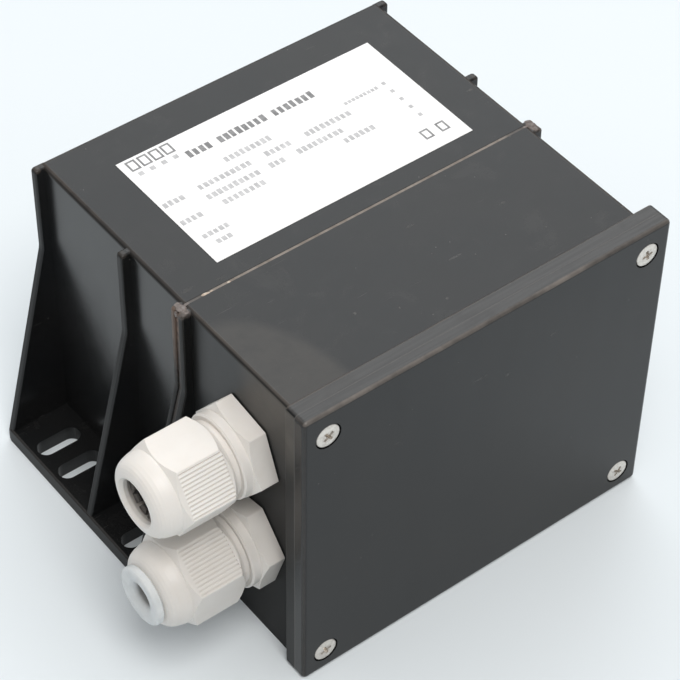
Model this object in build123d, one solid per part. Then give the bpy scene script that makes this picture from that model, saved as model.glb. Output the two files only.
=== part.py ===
from build123d import *
import math
import os

# ---------------------------------------------------------------- driving dimensions (mm)
# x: across, from the middle of the body.  y: depth, from the front of the cover while
# building.  z: up, from the base.  Everything is shifted by -Y0 at export, so that the
# origin lies in the middle of the rectangle of foot slots, on the base plane.
COVER_W = 103.4          # cover and box flange, width
COVER_H = 88.0           # cover and box flange, height
COVER_T = 3.2            # cover plate
GASKET_T = 0.3           # flat seal
FLANGE_BACK = 6.8        # back of the box flange
BODY_W = 98.8            # box and housing, width
BODY_H = 84.4            # box and housing, height
SEAM_Y = 46.7            # joint between box and housing
REAR_Y = 104.4           # back of the housing
BOX_WALL = 2.6
BOX_BACK_T = 2.4         # back wall of the terminal box
HOUSING_WALL = 3.2

RIB_OUT = 2.35           # ribs stand out from the wall
RIB_KINK_Z = 59.5        # the ribs run out to the feet below this height
FOOT_W = 131.4           # over both feet
FOOT_T = 4.2
RIB_FOOT_X = 65.4        # rib meets the foot here
FRONT_RIB = (46.9, 48.4)
MID_RIB = (67.3, 69.5)
REAR_RIB = (102.2, 104.4)
BOX_RIB = (43.9, 45.9)
RIB_BEND_R = 8.0

SLOT_X = 58.1            # slot centres, from the middle
SLOT_Y = (55.7, 83.2, 92.7)
SLOT_L = 12.0
SLOT_W = 5.0
TOP_R = 1.1              # rounding of the long top edges
Y0 = (SLOT_Y[0] + SLOT_Y[2]) / 2

SCREW_X = 45.2           # cover screws
SCREW_Z = (6.4, 80.5)
SCREW_HEAD_R = 3.1
SCREW_R = 1.4
SCREW_SINK = 1.45        # counterbore depth
SINK_R = 3.4

GLAND_Y = {"upper": 24.1, "lower": 21.8}     # cable glands
GLAND_Z = {"upper": 60.1, "lower": 31.4}
HEX_PHI = {"upper": 8.2, "lower": -11.8}
NUT_PHI = {"upper": 0.0, "lower": -19.3}
GLAND_AF = 21.8          # hexagon on the body
NUT_AF = 21.1            # hexagon of the dome nut
THREAD_R = 8.0
GLAND_WASHER_T = 0.3
HEX_END = 5.5
COLLAR_R = 10.6
COLLAR_END = 7.9
NECK_R = 9.2
NECK_END = 18.5
FINGER_END = 26.95       # clamping fingers, their tips bent in over the seal
FINGERS = 12
TIP_R = (5.0, 6.1)
CONE_R, CONE_START, CONE_END = 7.2, 21.9, 25.5
BODY_BORE_R = 5.3
SEAL_OUT_R = 6.6
SEAL_BORE_R = 4.6
SEAL = (14.0, 25.1)
NUT_BACK = 9.5
NUT_FRONT = 29.6
NUT_HOLE_R = 5.6

LABEL_X = (-35.8, 37.8)
LABEL_Y = (52.95, 92.95)
LABEL_T = 0.15

CORE_Y = 74.0            # transformer, middle of the stack
CORE_W, CORE_H, CORE_STACK = 78.0, 65.0, 27.0
CORE_LEG = 13.0          # outer leg and yoke; the middle leg is twice this
CORE_Z0 = 9.7
RESIN_FRONT = 47.3


# ---------------------------------------------------------------- helpers
def box(x0, x1, y0, y1, z0, z1):
    return Pos((x0 + x1) / 2, (y0 + y1) / 2, (z0 + z1) / 2) * Box(x1 - x0, y1 - y0, z1 - z0)


def cyl_y(x, z, r, y0, y1):
    return Pos(x, (y0 + y1) / 2, z) * Rot(90, 0, 0) * Cylinder(r, y1 - y0)


def cyl_z(x, y, r, z0, z1):
    return Pos(x, y, (z0 + z1) / 2) * Cylinder(r, z1 - z0)


def cyl_x(y, z, r, x0, x1):
    return Pos((x0 + x1) / 2, y, z) * Rot(0, 90, 0) * Cylinder(r, x1 - x0)


def prism_y(points, y0, y1):
    """Outline in x and z, drawn out along y."""
    face = make_face(Polyline(*[(px, y1, pz) for px, pz in points], close=True))
    return extrude(face, amount=y1 - y0, dir=(0, -1, 0))


def prism_x(points, x0, x1):
    """Outline in y and z, drawn out along x."""
    face = make_face(Polyline(*[(x0, py, pz) for py, pz in points], close=True))
    return extrude(face, amount=x1 - x0, dir=(1, 0, 0))


def turned(points):
    """Outline of (radius, height), turned round the z axis."""
    face = make_face(Polyline(*[(pr, 0, pz) for pr, pz in points], close=True))
    return revolve(face, axis=Axis.Z)


def tube(r_out, r_in, z0, z1):
    return turned([(r_in, z0), (r_out, z0), (r_out, z1), (r_in, z1)])


def hexagon(across_flats, phi, z0, z1):
    """Hexagon round z.  phi turns it as seen on the finished part's side wall."""
    r = across_flats / math.sqrt(3)
    pts = []
    for k in range(6):
        a = math.radians(phi + 60 * k)
        pts.append((r * math.sin(a), r * math.cos(a), z0))
    face = make_face(Polyline(*pts, close=True))
    prism = extrude(face, amount=z1 - z0, dir=(0, 0, 1))
    return fillet(prism.edges().filter_by(Axis.Z), 0.5)


def on_wall(shape, which):
    """Local z points out of the left wall."""
    return Pos(-BODY_W / 2, GLAND_Y[which], GLAND_Z[which]) * Rot(0, -90, 0) * shape


def both_sides(shape):
    return [shape, mirror(shape, about=Plane.YZ)]


def join(first, others):
    for other in others:
        first = first + other
    return first


def solids_of(shapes):
    out = []
    for s in shapes:
        out.extend(s.solids())
    return Compound(children=out) if len(out) > 1 else out[0]


def save(name, shape):
    solids = shape.solids()
    moved = [s.moved(Location((0, -Y0, 0))) for s in solids]
    result = moved[0] if len(moved) == 1 else Compound(children=moved)
    export_step(result, "parts/" + name + ".step")
    print(name, len(solids), round(sum(s.volume for s in solids) / 1000, 3), "cm3")


os.makedirs("parts", exist_ok=True)

HW = BODY_W / 2
INNER_X = HW - BOX_WALL


# ---------------------------------------------------------------- rear housing
def rib_outline(top, low_x, inner):
    return [(inner, top), (HW + RIB_OUT, top), (HW + RIB_OUT, RIB_KINK_Z),
            (low_x, FOOT_T), (low_x, 0.0), (inner, 0.0)]


def rounded_rib(y0, y1):
    """Rib on the +x side, with its top corner and outer edges rounded."""
    rib = prism_y(rib_outline(BODY_H - 0.2, RIB_FOOT_X, HW - 1.0), y0, y1)
    rib = fillet(rib.edges().filter_by(Axis.Y).filter_by_position(
        Axis.Z, BODY_H - 0.6, BODY_H).sort_by(Axis.X)[-1:], 0.9)
    bend = rib.edges().filter_by(Axis.Y).filter_by_position(Axis.Z, RIB_KINK_Z - 0.1, RIB_KINK_Z + 0.1)
    rib = fillet(bend, RIB_BEND_R)
    outer = [e for e in rib.edges()
             if abs(e.tangent_at(0.5).Y) < 0.1 and e.center().X > HW + 0.6 and e.center().Z > FOOT_T + 1.0]
    return fillet(outer, 0.6)


housing = box(-HW, HW, SEAM_Y, REAR_Y, 0, BODY_H)
housing = fillet(housing.edges().filter_by(Axis.Y).group_by(Axis.Z)[-1]
                 + housing.edges().filter_by(Axis.X).group_by(Axis.Z)[-1].sort_by(Axis.Y)[-1:], TOP_R)
rib_parts = []
for y0, y1 in (FRONT_RIB, MID_RIB, REAR_RIB):
    rib_parts += both_sides(rounded_rib(y0, y1))
foot = box(HW - 1.0, FOOT_W / 2, SEAM_Y, REAR_Y, 0, FOOT_T)
foot = fillet(foot.edges().filter_by(Axis.Z).sort_by(Axis.X)[-2:], 1.2)
foot = fillet(foot.edges().group_by(Axis.Z)[-1].sort_by(Axis.X)[-1:], 0.5)
rib_parts += both_sides(foot)
housing = join(housing, rib_parts)
housing = housing - box(-HW + HOUSING_WALL, HW - HOUSING_WALL, SEAM_Y - 1, REAR_Y - HOUSING_WALL,
                        HOUSING_WALL, BODY_H - HOUSING_WALL)
for sx in (-1, 1):
    for sy in SLOT_Y:
        half = (SLOT_L - SLOT_W) / 2
        slot = (box(sx * SLOT_X - half, sx * SLOT_X + half, sy - SLOT_W / 2, sy + SLOT_W / 2, -1, FOOT_T + 1)
                + cyl_z(sx * SLOT_X - half, sy, SLOT_W / 2, -1, FOOT_T + 1)
                + cyl_z(sx * SLOT_X + half, sy, SLOT_W / 2, -1, FOOT_T + 1))
        housing = housing - slot
seam_cut = prism_x([(SEAM_Y - 1.4, BODY_H + 1.0), (SEAM_Y, BODY_H - 0.4), (SEAM_Y + 1.4, BODY_H + 1.0)],
                   -HW - 1, HW + 1)
housing = housing - seam_cut
save("rear_housing", housing)

# ---------------------------------------------------------------- transformer in the housing
core_z1 = CORE_Z0 + CORE_H - CORE_LEG
cy0, cy1 = CORE_Y - CORE_STACK / 2, CORE_Y + CORE_STACK / 2
hw = CORE_W / 2
core_e = prism_y([(-hw, CORE_Z0), (hw, CORE_Z0), (hw, core_z1), (hw - CORE_LEG, core_z1),
                  (hw - CORE_LEG, CORE_Z0 + CORE_LEG), (CORE_LEG, CORE_Z0 + CORE_LEG), (CORE_LEG, core_z1),
                  (-CORE_LEG, core_z1), (-CORE_LEG, CORE_Z0 + CORE_LEG), (-hw + CORE_LEG, CORE_Z0 + CORE_LEG),
                  (-hw + CORE_LEG, core_z1), (-hw, core_z1)], cy0, cy1)
core_i = box(-hw, hw, cy0, cy1, core_z1, core_z1 + CORE_LEG)
save("core_e_stack", core_e)
save("core_i_stack", core_i)

B_WALL = 1.2
bz0, bz1 = CORE_Z0 + CORE_LEG, core_z1
bmid = (bz0 + bz1) / 2
bx, by = CORE_LEG + B_WALL, CORE_STACK / 2 + B_WALL
fx, fy = 25.4, 24.6


def ring_box(ox, oy, ix, iy, z0, z1, r=0.0):
    outer = box(-ox, ox, CORE_Y - oy, CORE_Y + oy, z0, z1)
    if r:
        outer = fillet(outer.edges().filter_by(Axis.Z), r)
    return outer - box(-ix, ix, CORE_Y - iy, CORE_Y + iy, z0 - 1, z1 + 1)


bobbin = ring_box(bx, by, CORE_LEG, CORE_STACK / 2, bz0, bz1)
for z0 in (bz0, bmid - B_WALL / 2, bz1 - B_WALL):
    bobbin = bobbin + ring_box(fx, fy, CORE_LEG, CORE_STACK / 2, z0, z0 + B_WALL)
save("coil_bobbin", bobbin)
wx, wy = 24.0, 23.2
low = (bz0 + B_WALL, bmid - B_WALL / 2)
high = (bmid + B_WALL / 2, bz1 - B_WALL)
save("secondary_winding", ring_box(wx, wy, bx, by, low[0], low[1], 4.0))
save("primary_winding", ring_box(wx, wy, bx, by, high[0], high[1], 4.0))


def wrap(z0, z1):
    outer = box(-wx - 0.5, wx + 0.5, CORE_Y - wy - 0.5, CORE_Y + wy + 0.5, z0, z1)
    outer = fillet(outer.edges().filter_by(Axis.Z), 4.5)
    inner = box(-wx, wx, CORE_Y - wy, CORE_Y + wy, z0 - 1, z1 + 1)
    inner = fillet(inner.edges().filter_by(Axis.Z), 4.0)
    return outer - inner


tape = [wrap(*low), wrap(*high)]
save("winding_tape", solids_of(tape))

# ---------------------------------------------------------------- leads
LEAD_R = 0.9
TAPE_FRONT = CORE_Y - wy - 0.5
BLOCK_BACK = SEAM_Y - BOX_BACK_T
PRI_X = (-4.5, 5.5, 15.5, 25.5)
PRI_Z = (58.0, 74.0)
SEC_X = (10.5, 20.5)
SEC_Z = (12.0, 28.0)
BLOCK_D = 15.0
CLAMP_Y = BLOCK_BACK - 6.5
FUSE_Z = 47.0
FUSE_X = (0.0, 24.0)


def lead(points):
    """Round wire through the points, with a ball at each bend."""
    wire = None
    for (x0, y0, z0), (x1, y1, z1) in zip(points[:-1], points[1:]):
        a, b = Vector(x0, y0, z0), Vector(x1, y1, z1)
        run = Plane(origin=a, z_dir=(b - a)) * Pos(0, 0, (b - a).length / 2) * Cylinder(LEAD_R, (b - a).length)
        wire = run if wire is None else wire + run
    for p in points[1:-1]:
        wire = wire + Pos(*p) * Sphere(LEAD_R)
    return wire


LEAD_Y = CLAMP_Y + 1.5    # the wire lies against the back of the clamp
LEAD_Z_P = 54.0
LEAD_Z_S = 32.0
COIL_END_Y = TAPE_FRONT
pri_mid, sec_mid = sum(PRI_Z) / 2, sum(SEC_Z) / 2
pri_leads = [
    lead([(PRI_X[3], LEAD_Y, pri_mid + 1.5), (PRI_X[3], LEAD_Y, LEAD_Z_P), (PRI_X[3] - 8.0, LEAD_Y, LEAD_Z_P),
          (PRI_X[3] - 8.0, COIL_END_Y, LEAD_Z_P)]),
    lead([(PRI_X[0], LEAD_Y, pri_mid + 1.5), (PRI_X[0], LEAD_Y, FUSE_Z), (FUSE_X[0] - 1.0, LEAD_Y, FUSE_Z)]),
    lead([(FUSE_X[1] + 1.0, LEAD_Y, FUSE_Z), (FUSE_X[1] + 7.0, LEAD_Y, FUSE_Z), (FUSE_X[1] + 7.0, LEAD_Y, 52.5),
          (FUSE_X[1] + 7.0, 48.9, 52.5), (FUSE_X[1] - 2.0, 48.9, 52.5), (FUSE_X[1] - 2.0, COIL_END_Y, 52.5)]),
]
sec_leads = [lead([(sx, LEAD_Y, sec_mid - 1.5), (sx, LEAD_Y, LEAD_Z_S), (sx - 6.0, LEAD_Y, LEAD_Z_S),
                   (sx - 6.0, COIL_END_Y, LEAD_Z_S)]) for sx in SEC_X]
save("primary_leads", solids_of(pri_leads))
save("secondary_leads", solids_of(sec_leads))

# ---------------------------------------------------------------- resin round the transformer
resin = box(-HW + HOUSING_WALL, HW - HOUSING_WALL, RESIN_FRONT, REAR_Y - HOUSING_WALL,
            HOUSING_WALL, BODY_H - HOUSING_WALL)
resin = resin - core_e - core_i
resin = resin - bobbin
# the windings and their wrap fill the chambers up to the wrap's outside
for z0, z1 in (low, high):
    filled = box(-wx - 0.5, wx + 0.5, CORE_Y - wy - 0.5, CORE_Y + wy + 0.5, z0, z1)
    filled = fillet(filled.edges().filter_by(Axis.Z), 4.5)
    resin = resin - filled
for wire in pri_leads + sec_leads:
    resin = resin - wire
save("potting_resin", resin)

# ---------------------------------------------------------------- terminal box
frame = box(-HW, HW, FLANGE_BACK - 1.0, SEAM_Y, 0, BODY_H)
frame = fillet(frame.edges().filter_by(Axis.Y).group_by(Axis.Z)[-1], TOP_R)
flange = box(-COVER_W / 2, COVER_W / 2, COVER_T + GASKET_T, FLANGE_BACK, 0, COVER_H)
flange = fillet(flange.edges().filter_by(Axis.Y), 1.2)
flange = fillet(flange.edges().group_by(Axis.Y)[-1].sort_by(Axis.Z)[-1:], 0.5)
frame = frame + flange
cavity = box(-INNER_X, INNER_X, 0, BLOCK_BACK, BOX_WALL, BODY_H - BOX_WALL)
outer_clip = box(-HW, HW, COVER_T + GASKET_T, SEAM_Y, 0, BODY_H)
frame = frame - cavity
for sx in (-1, 1):
    for sz in SCREW_Z:
        inner = 1 if sz < 40 else -1
        boss = cyl_y(sx * SCREW_X, sz, 4.0, COVER_T + GASKET_T, 30.0)
        boss = boss + box(min(sx * SCREW_X, sx * (HW - 1)), max(sx * SCREW_X, sx * (HW - 1)),
                          COVER_T + GASKET_T, 30.0, sz - 4.0, sz + 4.0)
        boss = boss + box(sx * SCREW_X - 4.0, sx * SCREW_X + 4.0, COVER_T + GASKET_T, 30.0,
                          min(sz, 1.0 if inner == 1 else sz), max(sz, BODY_H - 1.0 if inner == -1 else sz))
        frame = frame + (boss & outer_clip)
frame = join(frame, both_sides(rounded_rib(*BOX_RIB)))
for which in ("upper", "lower"):
    frame = frame - cyl_x(GLAND_Y[which], GLAND_Z[which], THREAD_R + 0.2, -HW - 1, -INNER_X + 1)
for sx in (-1, 1):
    for sz in SCREW_Z:
        frame = frame - cyl_y(sx * SCREW_X, sz, SCREW_R, 0, 19.0)
# windows for the leads in the back wall
frame = frame - box(14.0, 34.0, BLOCK_BACK - 1, SEAM_Y + 1, LEAD_Z_P - 3.0, LEAD_Z_P + 2.0)
frame = frame - box(0.0, 19.0, BLOCK_BACK - 1, SEAM_Y + 1, LEAD_Z_S - 2.0, LEAD_Z_S + 2.0)
FIX = [(0.5, 66.0), (20.5, 66.0), (15.5, 20.0), (12.0, FUSE_Z)]
FIX_R = 1.2
for fx_, fz_ in FIX:
    frame = frame - cyl_y(fx_, fz_, FIX_R, BLOCK_BACK - 1, BLOCK_BACK + 1.8)
frame = frame - seam_cut
save("terminal_box", frame)

# ---------------------------------------------------------------- seam bead
bead_side = prism_y([(HW, BODY_H - 1.2), (HW + RIB_OUT - 0.5, BODY_H - 1.2), (HW + RIB_OUT - 0.5, RIB_KINK_Z),
                     (RIB_FOOT_X - 0.8, FOOT_T), (HW, FOOT_T)], BOX_RIB[1], FRONT_RIB[0])
bead_top = prism_x([(SEAM_Y - 0.32, BODY_H - 0.08), (SEAM_Y, BODY_H - 0.4), (SEAM_Y + 0.32, BODY_H - 0.08)],
                   -HW + 1.0, HW - 1.0)
save("seam_bead", solids_of(both_sides(bead_side) + [bead_top]))

# ---------------------------------------------------------------- cover, gasket, cover screws
cover = box(-COVER_W / 2, COVER_W / 2, 0, COVER_T, 0, COVER_H)
cover = fillet(cover.edges().filter_by(Axis.Y), 1.2)
cover = fillet(cover.edges().group_by(Axis.Y)[0], 1.0)
gasket = box(-COVER_W / 2, COVER_W / 2, COVER_T, COVER_T + GASKET_T, 0, COVER_H)
gasket = fillet(gasket.edges().filter_by(Axis.Y), 1.2)
gasket = gasket - box(-INNER_X + 9.0, INNER_X - 9.0, 0, 10, BOX_WALL, BODY_H - BOX_WALL) \
                - box(-INNER_X, INNER_X, 0, 10, 11.5, 75.5)
for sx in (-1, 1):
    for sz in SCREW_Z:
        cover = cover - cyl_y(sx * SCREW_X, sz, SINK_R, -1, SCREW_SINK) - cyl_y(sx * SCREW_X, sz, 1.9, 0, COVER_T + 1)
        gasket = gasket - cyl_y(sx * SCREW_X, sz, 2.1, 0, 10)
save("front_cover", cover)
save("cover_gasket", gasket)


def cross_screw(head_r, head_h, shank_r, length, slot, rim=0.45):
    """Raised head on the z axis.  z = 0 under the head, shank down."""
    pts = [(0, -length), (shank_r * 0.55, -length), (shank_r, -length + 1.0), (shank_r, 0), (head_r, 0),
           (head_r, head_h * rim)]
    for k in range(1, 7):
        a = math.radians(90 * k / 6)
        pts.append((head_r * math.cos(a), head_h * (rim + (1 - rim) * math.sin(a))))
    pts[-1] = (0, head_h)
    body = turned(pts)
    depth = head_h * 0.75
    for turn in (0, 90):
        body = body - Rot(0, 0, turn) * Pos(0, 0, head_h - depth / 2 + 0.2) * Box(slot, head_r * 0.95, depth + 0.4)
    return body


screws = []
for i, (sx, sz) in enumerate([(-1, SCREW_Z[0]), (1, SCREW_Z[0]), (-1, SCREW_Z[1]), (1, SCREW_Z[1])]):
    one = cross_screw(SCREW_HEAD_R, 1.55, SCREW_R, 15.0, 0.75, 0.78)
    screws.append(Pos(sx * SCREW_X, SCREW_SINK, sz) * Rot(90, 0, 0) * Rot(0, 0, (20, 55, 38, 10)[i]) * one)
save("cover_screws", solids_of(screws))


# ---------------------------------------------------------------- cable glands
def gland_body(which):
    prof = [(BODY_BORE_R, -11.0), (THREAD_R - 0.5, -11.0), (THREAD_R, -10.5), (THREAD_R, HEX_END - 0.6),
            (COLLAR_R, HEX_END - 0.6), (COLLAR_R, COLLAR_END - 0.4), (COLLAR_R - 0.4, COLLAR_END),
            (NECK_R, COLLAR_END), (NECK_R, NECK_END), (8.5, NECK_END + 0.7), (8.5, CONE_START), (CONE_R, CONE_END),
            (TIP_R[1], FINGER_END), (TIP_R[0], FINGER_END - 0.35), (TIP_R[0], FINGER_END - 0.85),
            (SEAL_OUT_R, SEAL[1] + 0.2), (SEAL_OUT_R, SEAL[0]), (BODY_BORE_R, SEAL[0])]
    body = turned(prof)
    limit = turned([(0, GLAND_WASHER_T), (GLAND_AF / math.sqrt(3) + 0.1, GLAND_WASHER_T),
                    (GLAND_AF / math.sqrt(3) + 0.1, HEX_END - 0.9), (GLAND_AF / 2 - 0.1, HEX_END), (0, HEX_END)])
    nut = (hexagon(GLAND_AF, HEX_PHI[which], GLAND_WASHER_T, HEX_END) & limit) - Cylinder(THREAD_R - 0.1, 100)
    body = body + nut
    for k in range(FINGERS):
        gap = Rot(0, 0, 360 / FINGERS * k) * Pos(7.0, 0, (19.6 + FINGER_END) / 2 + 0.5) \
            * Box(6.0, 0.9, FINGER_END - 19.6 + 1.0)
        body = body - gap
    return body


def gland_nut(which):
    r_c = NUT_AF / math.sqrt(3)
    outer = turned([(0, NUT_BACK), (10.1, NUT_BACK), (10.6, NUT_BACK + 0.7), (r_c + 0.1, 11.6), (r_c + 0.1, 22.3),
                    (10.3, 24.0), (10.35, 24.4), (10.25, 25.2), (10.05, 26.1), (9.8, 27.0), (9.4, 27.9), (8.9, 28.6),
                    (8.3, 29.1), (7.6, 29.4), (6.8, NUT_FRONT), (0, NUT_FRONT)])
    shape = hexagon(NUT_AF, NUT_PHI[which], NUT_BACK, 24.0) + Pos(0, 0, 26.0) * Cylinder(10.5, 8.0)
    shape = shape & outer
    inside = turned([(0, NUT_BACK - 1), (NECK_R + 0.05, NUT_BACK - 1), (NECK_R + 0.05, CONE_START - 0.6),
                     (8.5, CONE_START), (CONE_R, CONE_END), (CONE_R, 27.8), (NUT_HOLE_R, 27.8), (NUT_HOLE_R, 28.8),
                     (6.2, NUT_FRONT + 0.1), (0, NUT_FRONT + 0.1)])
    shape = shape - inside
    ribs, pitch = 11, 0.98
    for facet in (0, 2, 4):
        mid = NUT_PHI[which] + 30 + 60 * facet
        for k in range(ribs + 1):
            off = (k - ribs / 2) * pitch
            cut = Pos(NUT_AF / 2, off, (11.0 + 22.3) / 2) * Box(0.64, 0.42, 22.3 - 11.0)
            shape = shape - Rot(0, 0, 90 - mid) * cut
    return shape


def locknut(which):
    r_c = 22.0 / math.sqrt(3)
    z1 = -BOX_WALL
    ring = hexagon(22.0, HEX_PHI[which] + 12.0, z1 - 5.0, z1)
    limit = turned([(0, z1 - 5.0), (r_c - 1.0, z1 - 5.0), (r_c + 0.1, z1 - 4.2), (r_c + 0.1, z1), (0, z1)])
    return (ring & limit) - Cylinder(THREAD_R, 60)


for which in ("upper", "lower"):
    save("gland_body_" + which, on_wall(gland_body(which), which))
    save("gland_nut_" + which, on_wall(gland_nut(which), which))
    save("gland_seal_" + which, on_wall(tube(SEAL_OUT_R, SEAL_BORE_R, SEAL[0], SEAL[1]), which))
    save("gland_washer_" + which, on_wall(tube(10.4, THREAD_R, 0, GLAND_WASHER_T), which))
    save("gland_locknut_" + which, on_wall(locknut(which), which))

plug = turned([(0, 15.0), (3.6, 15.0), (SEAL_BORE_R, 16.2), (SEAL_BORE_R, NUT_FRONT), (7.0, NUT_FRONT),
               (7.4, NUT_FRONT + 0.4), (7.4, 31.0), (7.2, 31.45), (6.8, 31.7), (6.2, 31.8), (4.9, 31.7),
               (4.2, 31.45), (3.5, 30.9), (2.9, 30.0), (2.6, 29.0), (2.4, 22.0), (0, 22.0)])
save("gland_plug", on_wall(plug, "lower"))

# ---------------------------------------------------------------- label
save("rating_label", box(LABEL_X[0], LABEL_X[1], LABEL_Y[0], LABEL_Y[1], BODY_H, BODY_H + LABEL_T))


# ---------------------------------------------------------------- terminals and fuse
def terminal_block(xs, z0, z1, fixings):
    x0, x1 = xs[0] - 5.0, xs[-1] + 5.0
    y0 = BLOCK_BACK - BLOCK_D
    block = box(x0, x1, y0, BLOCK_BACK, z0, z1)
    block = chamfer(block.edges().filter_by(Axis.X).group_by(Axis.Y)[0], 2.0)
    zc = (z0 + z1) / 2
    for x in xs:
        block = block - box(x - 2.9, x + 2.9, CLAMP_Y - 3.2, CLAMP_Y + 3.2, z0 + 2.0, z1 - 2.0)
        block = block - cyl_z(x, CLAMP_Y, 2.4, z0 - 1, z1 + 1)
        block = block - cyl_y(x, zc, 2.6, y0 - 1, CLAMP_Y)
    for x, z in fixings:
        block = block - cyl_y(x, z, FIX_R, y0 - 1, BLOCK_BACK + 1) - cyl_y(x, z, 1.95, y0 - 1, BLOCK_BACK - 6.0)
    return block


def clamps(xs, z0, z1):
    zc = (z0 + z1) / 2
    out = []
    for x in xs:
        c = box(x - 2.9, x + 2.9, CLAMP_Y - 3.2, CLAMP_Y + 3.2, z0 + 2.0, z1 - 2.0)
        c = c - cyl_z(x, CLAMP_Y, 2.4, z0 - 1, z1 + 1) - cyl_y(x, zc, 1.5, CLAMP_Y - 4, CLAMP_Y)
        out.append(c)
    return out


def pole_screws(xs, z0, z1):
    zc = (z0 + z1) / 2
    out = []
    for x in xs:
        s = cyl_y(x, zc, 2.2, CLAMP_Y - 5.2, CLAMP_Y - 3.2) + cyl_y(x, zc, 1.5, CLAMP_Y - 3.3, CLAMP_Y + 0.6)
        s = s - box(x - 2.5, x + 2.5, CLAMP_Y - 6, CLAMP_Y - 4.4, zc - 0.4, zc + 0.4)
        out.append(s)
    return out


pri_fix, sec_fix = FIX[0:2], FIX[2:3]
save("primary_terminal_block", terminal_block(PRI_X, PRI_Z[0], PRI_Z[1], pri_fix))
save("secondary_terminal_block", terminal_block(SEC_X, SEC_Z[0], SEC_Z[1], sec_fix))
save("primary_terminal_clamps", solids_of(clamps(PRI_X, *PRI_Z)))
save("secondary_terminal_clamps", solids_of(clamps(SEC_X, *SEC_Z)))
save("primary_terminal_screws", solids_of(pole_screws(PRI_X, *PRI_Z)))
save("secondary_terminal_screws", solids_of(pole_screws(SEC_X, *SEC_Z)))

# fuse base with two clips, a glass tube and its two caps
FUSE_Y = BLOCK_BACK - 8.2
fuse_base = box(FUSE_X[0] - 3.0, FUSE_X[1] + 3.0, BLOCK_BACK - 3.0, BLOCK_BACK, FUSE_Z - 4.5, FUSE_Z + 3.2)
fuse_base = fuse_base - cyl_y(FIX[3][0], FIX[3][1], FIX_R, 0, 60)
save("fuse_base", fuse_base)
fuse_r = 2.6
clips = []
for x0, x1 in ((FUSE_X[0] + 2.0, FUSE_X[0] + 7.0), (FUSE_X[1] - 7.0, FUSE_X[1] - 2.0)):
    clip = box(x0, x1, BLOCK_BACK - 3.6, BLOCK_BACK - 3.0, FUSE_Z - 3.2, FUSE_Z + 3.2)
    ring = cyl_x(FUSE_Y, FUSE_Z, fuse_r + 0.6, x0, x1) - cyl_x(FUSE_Y, FUSE_Z, fuse_r, x0 - 1, x1 + 1)
    ring = ring - box(x0 - 1, x1 + 1, FUSE_Y - 6, FUSE_Y - 1.6, FUSE_Z - 6, FUSE_Z + 6)
    post = box(x0, x1, FUSE_Y + fuse_r + 0.2, BLOCK_BACK - 3.3, FUSE_Z - 1.5, FUSE_Z + 1.5)
    tail = box(x0 - 3.0, x0 + 0.5, LEAD_Y - 0.3, LEAD_Y + 0.3, FUSE_Z - 1.5, FUSE_Z + 1.5) if x0 < 10 else \
        box(x1 - 0.5, x1 + 3.0, LEAD_Y - 0.3, LEAD_Y + 0.3, FUSE_Z - 1.5, FUSE_Z + 1.5)
    clips.append(clip + ring + post + tail)
caps = [cyl_x(FUSE_Y, FUSE_Z, fuse_r, FUSE_X[0] + 2.0, FUSE_X[0] + 7.0),
        cyl_x(FUSE_Y, FUSE_Z, fuse_r, FUSE_X[1] - 7.0, FUSE_X[1] - 2.0)]
save("fuse_clips", solids_of(clips))
save("fuse_caps", solids_of(caps))
save("fuse_tube", cyl_x(FUSE_Y, FUSE_Z, 2.4, FUSE_X[0] + 7.0, FUSE_X[1] - 7.0))

fixers = []
for x, z in FIX[:3]:
    one = cross_screw(1.8, 1.4, FIX_R, 7.6, 0.6)
    fixers.append(Pos(x, BLOCK_BACK - 6.0, z) * Rot(90, 0, 0) * one)
one = cross_screw(1.8, 1.4, FIX_R, 4.6, 0.6)
fixers.append(Pos(FIX[3][0], BLOCK_BACK - 3.0, FIX[3][1]) * Rot(90, 0, 0) * one)
save("block_screws", solids_of(fixers))
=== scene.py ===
import math
import random

import bmesh
import bpy
from mathutils import Matrix, Vector, noise


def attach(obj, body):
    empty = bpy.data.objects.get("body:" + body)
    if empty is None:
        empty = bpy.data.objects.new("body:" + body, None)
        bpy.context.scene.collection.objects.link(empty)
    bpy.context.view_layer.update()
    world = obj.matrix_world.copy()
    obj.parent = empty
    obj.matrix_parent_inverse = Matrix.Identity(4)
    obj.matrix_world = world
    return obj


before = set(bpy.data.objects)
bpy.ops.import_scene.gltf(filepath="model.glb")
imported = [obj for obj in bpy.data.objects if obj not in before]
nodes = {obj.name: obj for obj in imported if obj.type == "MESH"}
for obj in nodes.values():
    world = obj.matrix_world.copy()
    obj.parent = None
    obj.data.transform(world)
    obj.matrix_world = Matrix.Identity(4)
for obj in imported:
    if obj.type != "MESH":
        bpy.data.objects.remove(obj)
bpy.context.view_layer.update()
MM = 0.001


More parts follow.
